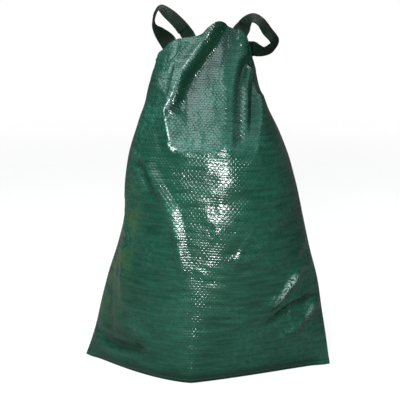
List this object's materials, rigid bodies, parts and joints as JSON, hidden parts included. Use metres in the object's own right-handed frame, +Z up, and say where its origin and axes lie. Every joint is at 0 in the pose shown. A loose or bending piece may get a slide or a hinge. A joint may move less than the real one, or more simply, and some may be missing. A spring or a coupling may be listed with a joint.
{
  "type": "tree watering bag",
  "caption": "Soft double-walled water bag that stands round a tree trunk, with a zip up the back and webbing handles at the top.",
  "frame": {"origin": "on the ground, under the middle of the bag", "axes": "+Z up, the front of the bag faces -Y, +X to the right as one looks at the front"},
  "size_m": [0.552, 0.3623, 0.7873],
  "materials": {
    "cloth": "coated woven polyethylene, glossy",
    "lining": "coated woven polyethylene, satin",
    "zip": "woven tape and moulded teeth",
    "webbing": "woven polypropylene webbing"
  },
  "bodies": {
    "root": {"outer_wall": "cloth", "inner_wall": "lining", "zip_closure": "zip", "left_handle": "webbing", "right_handle": "webbing"}
  },
  "joints": []
}
